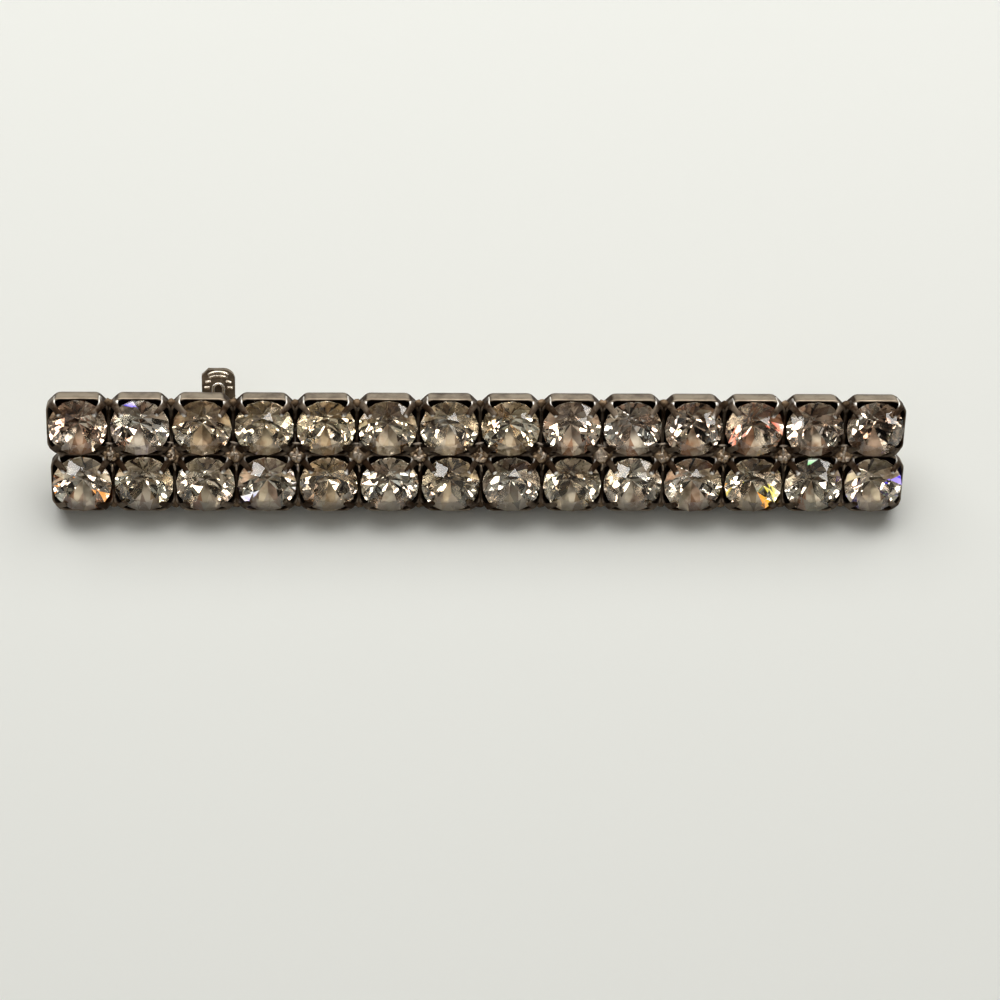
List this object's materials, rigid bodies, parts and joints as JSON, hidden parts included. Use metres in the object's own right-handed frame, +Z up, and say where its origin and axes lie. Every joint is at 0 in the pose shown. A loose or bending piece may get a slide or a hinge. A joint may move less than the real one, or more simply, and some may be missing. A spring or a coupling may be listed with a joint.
{
  "type": "bar brooch",
  "caption": "Straight bar brooch: rows of round clear cut stones held by prongs in square soldered metal cups, with a pin and a turning safety catch on the back.",
  "frame": {"origin": "centre of the bounding box's footprint, on the surface that the brooch lies on", "axes": "+X along the bar, from the catch to the hinge; +Z up from the surface; the face leans back from upright, towards -Y and +Z"},
  "size_m": [0.0646, 0.0106, 0.0073],
  "materials": {
    "tarnished_metal": "worn plating, dull and tarnished brown in the gaps",
    "pin_steel": "drawn wire, slightly dulled",
    "clear_crystal": "faceted and polished, with an aged foil behind it"
  },
  "bodies": {
    "brooch": {"setting": "tarnished_metal", "pin_stem": "pin_steel", "stone_r1_c01": "clear_crystal", "stone_r1_c02": "clear_crystal", "stone_r1_c03": "clear_crystal", "stone_r1_c04": "clear_crystal", "stone_r1_c05": "clear_crystal", "stone_r1_c06": "clear_crystal", "stone_r1_c07": "clear_crystal", "stone_r1_c08": "clear_crystal", "stone_r1_c09": "clear_crystal", "stone_r1_c10": "clear_crystal", "stone_r1_c11": "clear_crystal", "stone_r1_c12": "clear_crystal", "stone_r1_c13": "clear_crystal", "stone_r1_c14": "clear_crystal", "stone_r2_c01": "clear_crystal", "stone_r2_c02": "clear_crystal", "stone_r2_c03": "clear_crystal", "stone_r2_c04": "clear_crystal", "stone_r2_c05": "clear_crystal", "stone_r2_c06": "clear_crystal", "stone_r2_c07": "clear_crystal", "stone_r2_c08": "clear_crystal", "stone_r2_c09": "clear_crystal", "stone_r2_c10": "clear_crystal", "stone_r2_c11": "clear_crystal", "stone_r2_c12": "clear_crystal", "stone_r2_c13": "clear_crystal", "stone_r2_c14": "clear_crystal"},
    "lever": {"catch_lever": "tarnished_metal"}
  },
  "joints": [
    {"name": "catch_turn", "type": "hinge", "parent": "brooch", "child": "lever", "pos_m": [-0.0197, 0.00242, 0.0016], "axis": [-1, 0, 0], "range_deg": [0, 90]}
  ]
}
